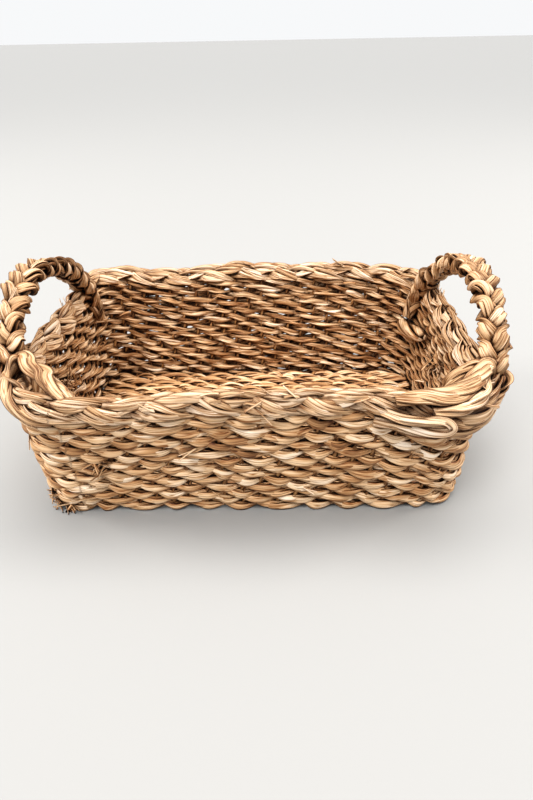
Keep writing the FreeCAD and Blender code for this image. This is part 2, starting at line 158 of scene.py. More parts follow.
# ---------------------------------------------------------------- leaves
class Weave:
    """Collects leaves, then becomes one mesh piece."""

    def __init__(self):
        self.points = []
        self.faces = []
        self.grain = []
        self.tone = []
        self.shade = []
        self.edge = []
        self.count = 0

    def leaf(self, path, wide, face, half_width, half_thick, tone, shade, seed, closed=False, curl=CURL):
        """One leaf along path. wide points across its flat face and face points out of it.

        Each point keeps what the material reads: grain runs along and across the leaf, tone is its colour,
        shade is painted shade that darkens it where the value is low, and edge is 1 at its margins, where the
        material paints a dark outline as shade.
        """
        number = len(path)
        half_width = np.broadcast_to(half_width, number)
        half_thick = np.broadcast_to(half_thick, number)
        tone = np.broadcast_to(tone, number)
        shade = np.broadcast_to(shade, number)
        turn = 2 * np.pi * np.arange(SIDES) / SIDES
        across = np.cos(turn)
        out = np.sin(turn) * np.abs(np.sin(turn)) ** LENS
        curl = np.broadcast_to(curl, number)[:, None]
        spread = across[None, :] * half_width[:, None]
        margin_down = curl * (across ** 2 - 0.4)[None, :] * half_width[:, None]
        ring_out = out[None, :] * half_thick[:, None] - margin_down
        points = path[:, None, :] + wide[:, None, :] * spread[..., None]
        points = points + face[:, None, :] * ring_out[..., None]
        run = distance_along(path)[:, None]
        underside_shift = 0.02 * (out[None, :] < -0.1)
        grain = np.stack(np.broadcast_arrays(run, spread + underside_shift, float(seed) % 97.0), -1)
        self.points.append(points.reshape(-1, 3))
        self.grain.append(grain.reshape(-1, 3))
        self.tone.append(np.repeat(tone, SIDES))
        self.shade.append(np.repeat(shade, SIDES))
        self.edge.append(np.tile(np.abs(across), number))
        rings = number if closed else number - 1
        ring = np.arange(rings)[:, None]
        corner = np.arange(SIDES)[None, :]
        following = (ring + 1) % number
        beside = (corner + 1) % SIDES
        corners = np.broadcast_arrays(ring * SIDES + corner, ring * SIDES + beside,
                                      following * SIDES + beside, following * SIDES + corner)
        self.faces.append((np.stack(corners, -1).reshape(-1, 4) + self.count).tolist())
        if not closed:
            first = self.count + np.arange(SIDES)
            last = self.count + (number - 1) * SIDES + np.arange(SIDES)
            self.faces.append([first[::-1].tolist(), last.tolist()])
        self.count += number * SIDES

    def piece(self, name, material, slot, *nodes):
        """Makes the mesh, warps it to the hand-made shape and stands it in for its CAD nodes."""
        mesh = bpy.data.meshes.new(name)
        points = hand_shape(np.concatenate(self.points))
        mesh.from_pydata(points.tolist(), [], [face for faces in self.faces for face in faces])
        for label, kind, values in (
            ("grain", "FLOAT_VECTOR", np.concatenate(self.grain)),
            ("tone", "FLOAT", np.concatenate(self.tone)),
            ("shade", "FLOAT", np.concatenate(self.shade)),
            ("edge", "FLOAT", np.concatenate(self.edge)),
        ):
            layer = mesh.attributes.new(label, kind, "POINT")
            field = "vector" if kind == "FLOAT_VECTOR" else "value"
            layer.data.foreach_set(field, values.astype(np.float32).ravel())
        mesh.polygons.foreach_set("use_smooth", np.ones(len(mesh.polygons), dtype=bool))
        mesh.materials.append(material)
        mesh.update()
        piece = bpy.data.objects.new(name, mesh)
        bpy.context.scene.collection.objects.link(piece)
        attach(piece, "root")
        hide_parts(*nodes)


def hand_shape(points):
    """Bends everything a little, as hand-woven work is. The base stays on the table."""
    x, y, z = points[:, 0], points[:, 1], points[:, 2]
    height = np.clip(z / RIM_LEVEL, 0, 1.2)
    rows_dip = np.sin(x / (31 * MM) + 1.0) + np.sin(x / (17 * MM) + y / (40 * MM))
    long_walls_bow = np.sin(x / (45 * MM) + 0.7)
    rows_step_out = np.sin(z / (13 * MM) + x / (50 * MM))
    end_walls_bow = np.sin(y / (33 * MM) + 0.4)
    bent = points.copy()
    bent[:, 2] += height * 1.2 * MM * rows_dip
    bent[:, 1] += height * 1.3 * MM * long_walls_bow + 0.8 * MM * rows_step_out * height
    bent[:, 0] += height * 1.2 * MM * end_walls_bow
    bent[:, 2] = np.maximum(bent[:, 2], 0.0)
    return bent


# ---------------------------------------------------------------- the wall's stake line
def wall_sizes(level):
    """The stake line's half length, half width and corner radius at a level."""
    share = (level - LOW_LEVEL) / (HIGH_LEVEL - LOW_LEVEL)
    half_x = LOW_HALF[0] + (HIGH_HALF[0] - LOW_HALF[0]) * share
    half_y = LOW_HALF[1] + (HIGH_HALF[1] - LOW_HALF[1]) * share
    corner = CORNER_LOW + (CORNER_HIGH - CORNER_LOW) * share
    return half_x, half_y, corner


def loop_point(run, half_x, half_y, corner):
    """Points and outward directions at run along rounded rectangles, from the front side's left end."""
    run, half_x, half_y, corner = np.broadcast_arrays(run, half_x, half_y, corner)
    arc = corner * np.pi / 2
    point = np.zeros(run.shape + (2,))
    outward = np.zeros(run.shape + (2,))
    start = np.zeros(run.shape)
    long_side, end_side = 2 * (half_x - corner), 2 * (half_y - corner)
    sides = [(long_side, (-1, -1), (1, 0)), (end_side, (1, -1), (0, 1)),
             (long_side, (1, 1), (-1, 0)), (end_side, (-1, 1), (0, -1))]
    for length, sign, along in sides:
        out = (along[1], -along[0])
        centre_x, centre_y = sign[0] * (half_x - corner), sign[1] * (half_y - corner)
        on_side = (run >= start) & (run <= start + length)
        far = run - start
        side_x = centre_x + out[0] * corner + along[0] * far
        side_y = centre_y + out[1] * corner + along[1] * far
        point[on_side] = np.stack([side_x, side_y], -1)[on_side]
        outward[on_side] = out
        start = start + length
        on_arc = (run > start) & (run < start + arc)
        turn = (run - start) / corner
        out_x = out[0] * np.cos(turn) + along[0] * np.sin(turn)
        out_y = out[1] * np.cos(turn) + along[1] * np.sin(turn)
        arc_x = centre_x + along[0] * length + out_x * corner
        arc_y = centre_y + along[1] * length + out_y * corner
        point[on_arc] = np.stack([arc_x, arc_y], -1)[on_arc]
        outward[on_arc] = np.stack([out_x, out_y], -1)[on_arc]
        start = start + arc
    return point, outward


def loop_length(half_x, half_y, corner):
    """How long the way round a rounded rectangle is."""
    return 4 * (half_x + half_y - 2 * corner) + 2 * np.pi * corner


def stake_runs(half_x, half_y, corner):
    """How far along the stake line each stake stands, for one level."""
    long_side, end_side, arc = 2 * (half_x - corner), 2 * (half_y - corner), corner * np.pi / 2
    long_places = np.linspace(-LONG_SPAN / 2, LONG_SPAN / 2, LONG_STAKES) + long_side / 2
    end_places = np.linspace(-END_SPAN / 2, END_SPAN / 2, END_STAKES) + end_side / 2
    turns = np.radians(CORNER_TURNS)
    runs, start = [], 0.0
    walls = ((long_side, long_places, turns), (end_side, end_places, (np.pi / 2 - turns)[::-1]))
    for length, places, bends in walls * 2:
        runs += list(start + places)
        runs += list(start + length + corner * bends)
        start += length + arc
    return np.array(runs)


STAKES = 2 * (LONG_STAKES + END_STAKES) + 4 * len(CORNER_TURNS)
PAIRS = STAKES // 2


def wall_place(place, level):
    """Points on the stake line and outward directions. place counts stakes from the front wall's left one."""
    place, level = np.broadcast_arrays(np.asarray(place, float), np.asarray(level, float))
    runs = []
    for at in (LOW_LEVEL, HIGH_LEVEL):
        stakes = stake_runs(*wall_sizes(at))
        total = loop_length(*wall_sizes(at))
        wrapped = np.concatenate([stakes, stakes[:1] + total])
        runs.append(np.interp(place % STAKES, np.arange(STAKES + 1), wrapped) / total)
    share = (level - LOW_LEVEL) / (HIGH_LEVEL - LOW_LEVEL)
    sizes = wall_sizes(level)
    total = loop_length(*sizes)
    run = (runs[0] + (runs[1] - runs[0]) * share) * total % total
    point, outward = loop_point(run, *sizes)
    centre = np.concatenate([point, level[..., None]], -1)
    return centre, np.concatenate([outward, np.zeros(level.shape + (1,))], -1)


def wall_frame(place, level):
    """The stake line's points with outward and upward directions that follow the wall's slope."""
    centre, outward = wall_place(place, level)
    above, _ = wall_place(place, level + 1 * MM)
    up = unit(above - centre)
    return centre, square_to(outward, up), up


# ---------------------------------------------------------------- twining
def twine(weave, put, places, shift, closed, seed, size=1.0, loose_share=0.1, tip=0.45, strands=(0, 1),
          tone_shift=0.0):
    """A twined row that takes two stakes at a time.

    put(place, up offset) gives points, outward and upward ways. places counts stakes. The strands cross where
    place + shift is an even number, which is at every second stake. A strand is broad and thin where it lies
    outside, and narrow where it crosses. tip leans its outside face. loose_share is the share of stitches that
    cross narrower still. Widths, depths and rises are in mm until they are scaled.
    """
    pairs = (places + shift) / 2
    jitter = 0.25 * drift(seed + 5, pairs, PAIRS)
    for strand in strands:
        rng = np.random.default_rng(seed + 100000 * strand)
        phase = np.pi * (pairs + strand + 0.5 + jitter)
        over = np.cos(phase)
        outside = ease_in_out(np.clip(0.5 + 1.1 * over, 0, 1))
        crossing = 1 - np.abs(over) ** 0.7
        segment = step_values(seed + 11 + strand, pairs + jitter, PAIRS)
        loose = (step_values(seed + 7, pairs + 0.5, PAIRS) > 1 - 2 * loose_share) * 1.0
        width = (3.1 + 0.75 * outside) * (1 + 0.15 * segment)
        width = width * (1 - crossing) + (2.5 - 1.1 * loose) * crossing
        depth = (2.1 - 0.7 * outside) * (1 - crossing) + 1.5 * crossing
        width = width * size * MM
        depth = depth * size * MM
        rise = -2.2 * np.sin(phase) - 0.5 * outside * (1 - crossing)
        rise = (rise + 0.7 * drift(seed + strand, places, STAKES)) * MM * size
        reach = (STAKE_RADIUS + 1.0 * MM) * over + 0.35 * MM * drift(seed + 3 + strand, pairs, PAIRS)
        leaves = 3 if rng.random() < 0.35 else 2
        first_turn = rng.uniform(0, 2 * np.pi)
        strand_tone = rng.uniform(-0.3, 0.3) + tone_shift
        for index in range(leaves):
            leaf_seed = seed * 31 + strand * 7 + index
            turn = first_turn + np.pi * pairs + 2 * np.pi * index / leaves
            turn = turn + 0.7 * drift(leaf_seed, pairs, PAIRS)
            leaf_width = width * (0.60 + 0.16 * outside)
            leaf_width = leaf_width * (1 + 0.18 * drift(leaf_seed + 1, places / 2, PAIRS))
            leaf_thick = (1.25 - 0.7 * outside * (1 - crossing)) * MM * size
            up_offset = (width - leaf_width) * np.sin(turn)
            out_offset = np.maximum(depth - leaf_thick, 0.3 * MM) * np.cos(turn)
            centre, outward, up = put(places, rise + up_offset)
            tilt = tip * outside * (1 - crossing)
            path = centre + outward * (reach + out_offset - tilt * up_offset)[:, None]
            along = heading(path, closed)
            lean = 0.6 * np.sin(turn) * (1 - 0.6 * outside) + 0.15 * drift(leaf_seed + 4, places / 2, PAIRS)
            wide = square_to(up * np.cos(lean)[:, None] - outward * (np.sin(lean) + tilt)[:, None], along)
            face = unit(np.cross(along, wide))
            tone = strand_tone + 0.45 * segment + 0.4 * drift(leaf_seed + 2, places / 2, PAIRS)
            tone = tone + rng.uniform(-0.2, 0.2)
            # Painted shade: the value falls where the strands cross between the stakes, and a little where a
            # strand lies on the stakes' inner side.
            shade = 1 - 0.7 * crossing ** 2 - 0.25 * (1 - outside) * (1 - crossing)
            weave.leaf(path, wide, face, leaf_width, leaf_thick, tone, shade, leaf_seed, closed)


# Knotted frays on the wall: course index, place in stakes, how many ends, seed, and 1 for the wall's outside or
# -1 for its inside.
FRAYS = ((8, 30.5, 22, 11, -1), (9, 28.5, 16, 12, -1), (11, 25.5, 14, 13, -1), (8, 71.0, 20, 14, -1),
         (10, 73.0, 16, 15, -1), (0, 78.3, 18, 16, 1), (1, 77.6, 8, 17, 1), (7, 1.5, 10, 18, 1))


def fray(weave, place, level, count, seed, side):
    """A knot of short frayed fibres on one face of the wall."""
    face_out = 5.2 * MM

    def place_at(rng, number):
        at = place + rng.uniform(-0.6, 0.6, number)
        centre, outward, up = wall_frame(at, level + rng.uniform(-3.5, 3.5, number) * MM)
        spin = rng.uniform(0, 2 * np.pi, number)[:, None]
        along = np.cross(up, outward) * np.cos(spin) + up * np.sin(spin)
        return centre + outward * side * face_out, outward * side, along

    loose_ends(weave, place_at, count, seed, length=9 * MM, half_width=1.2 * MM)


def build_course(index, material):
    """One twined row of the wall. The top course has a second row above it, under the rim."""
    node = f"wall_course_{index + 1:02d}"
    level = middle(node)[2]
    top_row_rise = 5.6 * MM
    ends_out = 5.6 * MM
    weave = Weave()
    places = np.arange(STAKES * STEPS) / STEPS

    def put(place, offset):
        wave = 1.0 * MM * drift(500 + index // 2, place / 4, 20)
        return wall_frame(place, level + offset + wave)

    twine(weave, put, places, index % 2, True, COURSE_SEED + COURSE_SEED_STEP * index)
    if index == COURSES - 1:
        level = level + top_row_rise
        twine(weave, put, places, 1 + index % 2, True, TOP_ROW_SEED)

    def place_at(rng, count):
        place = rng.integers(0, STAKES, count) + 0.5
        centre, outward, up = wall_frame(place, level + rng.uniform(-1.5, 1.5, count) * MM)
        side = np.where(rng.random(count) < 0.5, 1.0, -1.0)[:, None]
        along = np.cross(up, outward)
        return centre + outward * side * ends_out, outward * side, along

    if index > 1:
        loose_ends(weave, place_at, 5, COURSE_ENDS_SEED + index)
    for course, place, count, seed, side in FRAYS:
        if course == index:
            fray(weave, place, level, count, seed, side)
    weave.piece(f"wall_weave_{index + 1:02d}", material, "weaver_leaf", node)


def build_floor(name, strand, node, material):
    """One strand of every floor row."""
    weave = Weave()
    level = (FLOOR_LOW + FLOOR_HIGH) / 2
    pitch = 2 * FLOOR_HALF[1] / FLOOR_ROWS
    spacing = LONG_SPAN / (LONG_STAKES - 1)
    reach = FLOOR_HALF[0] + 3 * MM
    corner = 20 * MM
    for row in range(FLOOR_ROWS):
        across = (row - (FLOOR_ROWS - 1) / 2) * pitch
        from_edge = FLOOR_HALF[1] - abs(across)
        inset = 0.0
        if from_edge < corner:
            inset = corner - math.sqrt(corner ** 2 - (corner - from_edge) ** 2)
        limit = (reach - inset) / spacing
        places = np.linspace(-limit, limit, int(2 * limit * STEPS)) + (LONG_STAKES - 1) / 2

        def put(place, offset):
            x = (place - (LONG_STAKES - 1) / 2) * spacing
            wave = 0.9 * MM * drift(700 + row // 2, place / 3 + 5, 20)
            lift = 0.35 * MM * drift(760 + row, place + 5, 40)
            centre = np.stack([x, across + offset + wave, level + lift], -1)
            outward = np.broadcast_to([0.0, 0.0, 1.0], centre.shape)
            up = np.broadcast_to([0.0, 1.0, 0.0], centre.shape)
            return centre, outward, up

        twine(weave, put, places, row % 2, False, FLOOR_SEED + FLOOR_SEED_STEP * row, size=1.15,
              loose_share=0.0, tip=0.0, strands=(strand,), tone_shift=-0.35)
    weave.piece(name, material, "weaver_leaf", node)


# ---------------------------------------------------------------- stakes
def twisted_cord(weave, path, radius, seed, tone=-0.4, twist=18 * MM, leaves=2, leaf_share=0.85):
    """A cord of leaves twisted round one another. leaf_share is a leaf's half width as a share of radius."""
    radius = np.broadcast_to(radius, len(path))
    along = heading(path)
    runs_sideways = abs(along[len(along) // 2][0]) >= 0.7
    guide = np.array([0.0, 1.0, 0.0]) if runs_sideways else np.array([1.0, 0.0, 0.0])
    side = square_to(guide, along)
    other = np.cross(along, side)
    run = distance_along(path)
    from_middle = (radius * (1 - leaf_share / 1.7))[:, None]
    for index in range(leaves):
        turn = 2 * np.pi * (run / twist + index / leaves) + seed
        out = side * np.cos(turn)[:, None] + other * np.sin(turn)[:, None]
        wide = unit(np.cross(along, out))
        leaf_tone = tone + 0.3 * drift(seed * 3 + index, run / (12 * MM), 40)
        weave.leaf(path + out * from_middle, wide, out, radius * leaf_share, radius * 0.6 * leaf_share,
                   leaf_tone, 1.0, seed + index)


def upright(place, low, high):
    """The line of a wall stake from one level to another."""
    levels = np.linspace(low, high, 40)
    centre, _ = wall_place(np.full(levels.shape, float(place)), levels)
    return centre


def build_stakes(material):
    """The stakes: across the floor between its strands, and up between the weavers."""
    floor = (FLOOR_LOW + FLOOR_HIGH) / 2
    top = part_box("cross_stakes")[1][2] + 4 * MM
    right_end = LONG_STAKES + len(CORNER_TURNS)
    half_way = PAIRS
    left_end = half_way + right_end
    groups = {
        "cross_stakes": [*range(LONG_STAKES), *range(half_way, half_way + LONG_STAKES)],
        "left_end_stakes": list(range(left_end, left_end + END_STAKES)),
        "right_end_stakes": list(range(right_end, right_end + END_STAKES)),
    }
    on_sides = sum(groups.values(), [])
    groups["corner_stakes"] = [stake for stake in range(STAKES) if stake not in on_sides]
    for node, stakes in groups.items():
        weave = Weave()
        for stake in stakes:
            twisted_cord(weave, upright(stake, floor + 2 * MM, top), STAKE_RADIUS, STAKE_SEED + stake)
        if node == "cross_stakes":
            for stake in range(LONG_STAKES):
                x = -LONG_SPAN / 2 + LONG_SPAN * stake / (LONG_STAKES - 1)
                y = np.linspace(-LOW_HALF[1], LOW_HALF[1], 90)
                path = np.stack([np.full(y.shape, x), y, np.full(y.shape, floor)], -1)
                twisted_cord(weave, path, STAKE_RADIUS, FLOOR_STAKE_SEED + stake)
        weave.piece(node + "_cord", material, "stake_cord", node)


# ---------------------------------------------------------------- plaits
def plait_strand(weave, centre, wide_way, deep_way, turns, strand, half_wide, half_deep, bundle, seed,
                 closed=False, open_by=1.0, tail=None, shade_low=0.45, squeeze=0.3, uneven=0.1, wrap=False,
                 tone_shift=0.0):
    """One strand of a three-strand plait, as a bundle of leaves.

    turns counts the plait's periods along centre, and open_by scales the plait's width and depth. The strand
    narrows by squeeze at the plait's edges, and uneven is how far its reach across wanders. With wrap, its flat
    face goes round the plait's edges. tail is points with a way for their face, put before the start. shade_low
    is the painted shade, at its darkest, where the strand crosses the plait's middle.
    """
    rng = np.random.default_rng(seed)
    leaf_half, leaf_thick, leaves, spread, loft = bundle
    phase = 2 * np.pi * (turns + strand / 3) + 0.22 * drift(seed + 1, turns * 3, 48)
    wobble = 1 + uneven * drift(seed + 2, turns * 3, 48)
    side = half_wide * open_by * wobble * np.sin(phase)
    deep = half_deep * open_by * np.sin(2 * phase)
    core = centre + wide_way * side[:, None] + deep_way * deep[:, None]
    # How far the strand is out of the plait's middle, which lifts its painted shade.
    visible = np.clip(2.2 * np.abs(np.sin(phase)), 0, 1)
    pinch = (1 - squeeze * np.abs(np.sin(phase)) ** 3) * (0.45 + 0.55 * open_by)
    curl = np.full(len(centre), CURL)
    if wrap:
        swing = np.pi / 2 * np.clip(2.2 * np.cos(phase), -1, 1)
        deep_way = deep_way * np.sin(swing)[:, None] + wide_way * np.cos(swing)[:, None]
        curl = CURL * np.clip(3 * np.sin(phase), -1, 1)
    if tail is not None:
        points, face = tail
        away = np.linspace(1, 0, len(points))
        ease = np.clip(away[:, None] * 2.2, 0, 1)
        faces = unit(deep_way[0] * (1 - ease) + unit(np.array(face)) * ease)
        narrow = 1.0 + 0.3 * ease[:, 0] - 0.85 * away ** 8
        core = np.concatenate([points, core])
        deep_way = np.concatenate([faces, deep_way])
        visible = np.concatenate([np.ones(len(points)), visible])
        pinch = np.concatenate([narrow, pinch])
        curl = np.concatenate([np.full(len(points), CURL), curl])
    along = heading(core, closed)
    face = square_to(deep_way, along)
    across = unit(np.cross(along, face))
    run = distance_along(core)
    total = run[-1] + (np.linalg.norm(core[0] - core[-1]) if closed else 0)
    knots = max(int(total / (22 * MM)), 2)
    knot = run / total * knots
    strand_tone = rng.uniform(-0.15, 0.3) + tone_shift
    rolls = round(total / (75 * MM))
    for index in range(leaves):
        leaf_seed = seed * 13 + index
        turn = 2 * np.pi * (index / leaves + rolls * run / total) + 0.6 * drift(leaf_seed, knot, knots)
        out = spread * pinch * np.sin(turn) + 0.5 * MM * drift(leaf_seed + 5, knot * 2, 2 * knots)
        raise_by = loft * np.cos(turn) + 0.3 * MM * drift(leaf_seed + 6, knot, knots)
        path = core + across * out[:, None] + face * raise_by[:, None]
        tilt = 0.45 * np.sin(turn + 0.8) + 0.25 * drift(leaf_seed + 1, knot, knots)
        wide = unit(across * np.cos(tilt)[:, None] - face * np.sin(tilt)[:, None])
        normal = unit(np.cross(along, wide))
        width = leaf_half * (1 + 0.25 * drift(leaf_seed + 2, knot, knots)) * (0.4 + 0.6 * pinch)
        thick = leaf_thick * (1 + 0.15 * drift(leaf_seed + 3, knot, knots))
        tone = strand_tone + 0.4 * drift(leaf_seed + 4, knot, knots) + rng.uniform(-0.25, 0.25)
        # Painted shade: darker where the strand crosses the plait's middle, down to shade_low.
        shade = shade_low + (1 - shade_low) * visible
        weave.leaf(path, wide, normal, width, thick, tone, shade, leaf_seed, closed, curl)


def fold_leaf(weave):
    """The broad leaf that is folded back on itself under the rim, near the front's right end."""
    rim_front = -(RIM_HALF[1] + 1.5 * MM)
    # Right of the middle, out from the rim's front and up from the rim's level, in mm.
    line = ((76, -4.0, -10), (92, 1.0, -11), (106, 3.0, -12.5), (117, 4.0, -12), (121, 4.5, -7.5),
            (116, 4.0, -3.5), (104, 3.5, -4), (92, 1.5, -5), (80, -4.0, -5))
    points = [(right * MM, rim_front - out * MM, RIM_LEVEL + up * MM) for right, out, up in line]
    leaf_band(weave, smooth_path(points, 70), (0.05, -1.0, 0.25), FOLD_BUNDLE, FOLD_SEED)


def build_rim(material):
    """The thick plait round the top of the wall. Its flat side faces out at the front, and in elsewhere."""
    periods = 10
    number = 80 * periods
    share = np.arange(number) / number
    half_wide, half_deep = 4.5 * MM, 3.8 * MM
    ends_out = 8.5 * MM
    sizes = RIM_HALF[0] - RIM_INSET, RIM_HALF[1] - RIM_INSET, CORNER_HIGH
    point, outward = loop_point(share * loop_length(*sizes), *sizes)
    centre = np.concatenate([point, np.full((number, 1), RIM_LEVEL)], -1)
    outward = np.concatenate([outward, np.zeros((number, 1))], -1)
    up = np.broadcast_to([0.0, 0.0, 1.0], outward.shape)
    frontness = ease_in_out(np.clip(-outward[:, 1:2] * 1.6 - 0.3, 0, 1))
    tilt = np.radians(-32 + 57 * frontness)
    wide_way = up * np.cos(tilt) - outward * np.sin(tilt)
    deep_way = outward * np.cos(tilt) + up * np.sin(tilt)
    for strand in range(3):
        weave = Weave()
        plait_strand(weave, centre, wide_way, deep_way, share * periods, strand, half_wide, half_deep,
                     RIM_BUNDLE, RIM_SEED + 101 * strand, closed=True)
        if strand == 0:
            fold_leaf(weave)

            def place_at(rng, count):
                at = rng.integers(0, number, count)
                spin = rng.uniform(-0.4, 2.0, count)[:, None]
                out = outward[at] * np.cos(spin) + up[at] * np.sin(spin)
                return centre[at] + out * ends_out, out, np.cross(up[at], outward[at])

            loose_ends(weave, place_at, 26, RIM_ENDS_SEED)
        weave.piece(f"rim_plait_{strand + 1}", material, "plait_leaf", f"rim_strand_{strand + 1}")


# Each handle's arch, in mm: where its front and back feet stand along Y, how far out they stand, how far its
# middle bows out and rises, and how far below the rim's level its feet end.
LEFT_ARCH = {
    "front": -72, "back": 81, "front_out": 152.5, "back_out": 140.6,
    "bow": 8, "rise": 65, "front_dip": 8, "back_dip": 31,
}
RIGHT_ARCH = {
    "front": -86, "back": 84, "front_out": 153.9, "back_out": 138.2,
    "bow": 10, "rise": 67, "front_dip": 10, "back_dip": 32,
}


def handle_line(side, turn):
    """The middle of a handle's plait at turns round its arch, from 0 at the front foot to pi at the back."""
    arch = LEFT_ARCH if side < 0 else RIGHT_ARCH
    share = (1 - np.cos(turn)) / 2
    out = arch["front_out"] + (arch["back_out"] - arch["front_out"]) * share + arch["bow"] * np.sin(turn)
    back = arch["front"] + (arch["back"] - arch["front"]) * share
    up = -arch["front_dip"] * (1 - share) - arch["back_dip"] * share + arch["rise"] * np.sin(turn) ** 1.1
    return np.stack([side * out * MM, back * MM, RIM_LEVEL + up * MM], -1)


def smooth_path(points, number):
    """A smooth curve through a few points, as Catmull-Rom."""
    points = np.array(points, float)
    points = np.concatenate([2 * points[:1] - points[1:2], points, 2 * points[-1:] - points[-2:-1]])
    spans = len(points) - 3
    place = np.linspace(0, spans - 1e-6, number)
    index = np.floor(place).astype(int)
    t = (place - index)[:, None]
    a, b, c, d = points[index], points[index + 1], points[index + 2], points[index + 3]
    bend = (2 * a - 5 * b + 4 * c - d) * t ** 2
    twist = (3 * b - 3 * c + d - a) * t ** 3
    return 0.5 * (2 * b + (c - a) * t + bend + twist)


def by_rim(side, along, out, up):
    """A point by the rim's front corner, in mm: along the rim from the corner's back end forwards, out, up."""
    half_x, half_y = RIM_HALF - RIM_INSET
    corner_end = 2 * (half_x - CORNER_HIGH) + CORNER_HIGH * np.pi / 2
    point, outward = loop_point(np.array([corner_end - along * MM]), half_x, half_y, CORNER_HIGH)
    point = point[0] + outward[0] * out * MM
    return np.array([side * point[0], point[1], RIM_LEVEL + up * MM])


# Where the bands of leaves at each handle's front foot go: places for by_rim, then the way the flat side faces.
# The first three continue the handle's strands and the rest start inside its foot.
LEFT_BANDS = (
    (((-9, -5, 12), (4, -13, 12), (22, -19, 11), (40, -15, 11), (54, -7, 9), (66, -1, 3)),
     (0.0, -0.4, 1.0)),
    (((-12, 11, 4), (0, 9, -1), (8, 5, -8), (16, 0, -13), (24, -4, -16)), (1.0, -0.3, 0.2)),
    (((-6, 1, 9), (4, 3, 5), (14, 4, 2), (26, 5, -1), (38, 4, -5), (50, 3, -7)), (0.8, -0.6, 0.6)),
    (((-12, -3, 8), (-4, -11, 5), (0, -15, -6), (2, -15, -16)), (-0.7, -0.5, 0.6)),
)
RIGHT_BANDS = (
    (((6, 1, 12), (20, -3, 12), (36, -1, 11), (50, 2, 9), (64, 3, 8), (80, 3, 4)), (0.0, -0.4, 1.0)),
    (((1, 15, -3), (6, 12, -10), (15, 8, -14), (25, 6, -16), (35, 4, -18), (44, 1, -20)), (1.0, -0.7, 0.2)),
    (((0, 10, 2), (8, 8, -3), (17, 7, -6), (26, 6, -8), (38, 5, -9), (50, 3, -9)), (0.8, -0.8, 0.6)),
    (((6, -6, 13), (17, -13, 12), (29, -16, 7), (32, -18, -2), (33, -18, -10)), (-0.2, -0.3, 1.0)),
    (((2, 3, 11), (14, 0, 10), (28, 4, 6), (44, 7, 3), (58, 8, 0)), (0.3, -0.7, 0.8)),
)


def leaf_band(weave, points, facing, bundle, seed, tone_shift=0.0):
    """A flat band of leaves along points."""
    zero = np.zeros(len(points))
    face = unit(np.broadcast_to(unit(np.array(facing)), points.shape))
    across = np.cross(face, heading(points))
    plait_strand(weave, points, across, face, zero, 0, 0.0, 0.0, bundle, seed, shade_low=1.0,
                 tone_shift=tone_shift)


def loose_ends(weave, place_at, count, seed, length=10 * MM, half_width=1.3 * MM):
    """Cut leaf ends that stand out of the weave. place_at(number) gives points, outward and along ways."""
    rng = np.random.default_rng(seed)
    points, outward, along = place_at(rng, count)
    for index in range(count):
        sign = rng.choice((-1, 1))
        for _ in range(rng.integers(1, 4)):
            reach = length * rng.uniform(0.6, 1.3)
            spin = rng.uniform(-0.5, 0.5)
            droop = rng.uniform(-0.6, 0.4)
            side = np.cross(outward[index], along[index])
            way = unit(along[index] * sign * math.cos(spin) + side * math.sin(spin))
            share = np.linspace(0, 1, 9)[:, None]
            lift = rng.uniform(0.25, 0.7)
            path = points[index] - outward[index] * 2.5 * MM + way * reach * (share - 0.3)
            path = path + outward[index] * (share * lift * reach)
            path = path + np.array([0, 0, 1]) * (share ** 2 * droop * reach * 0.5)
            direction = heading(path)
            wide = square_to(unit(side + outward[index] * rng.uniform(-0.4, 0.4)), direction)
            face = np.cross(direction, wide)
            width = half_width * rng.uniform(0.35, 1.0) * (1 - 0.3 * share[:, 0])
            weave.leaf(path, wide, face, width, 0.3 * MM, rng.uniform(-0.6, 0.7), 1.0, seed * 7 + index)


def turned_to_side(side, way):
    """A way stated for the right side, as it is on either side."""
    return (side * way[0], way[1], way[2])


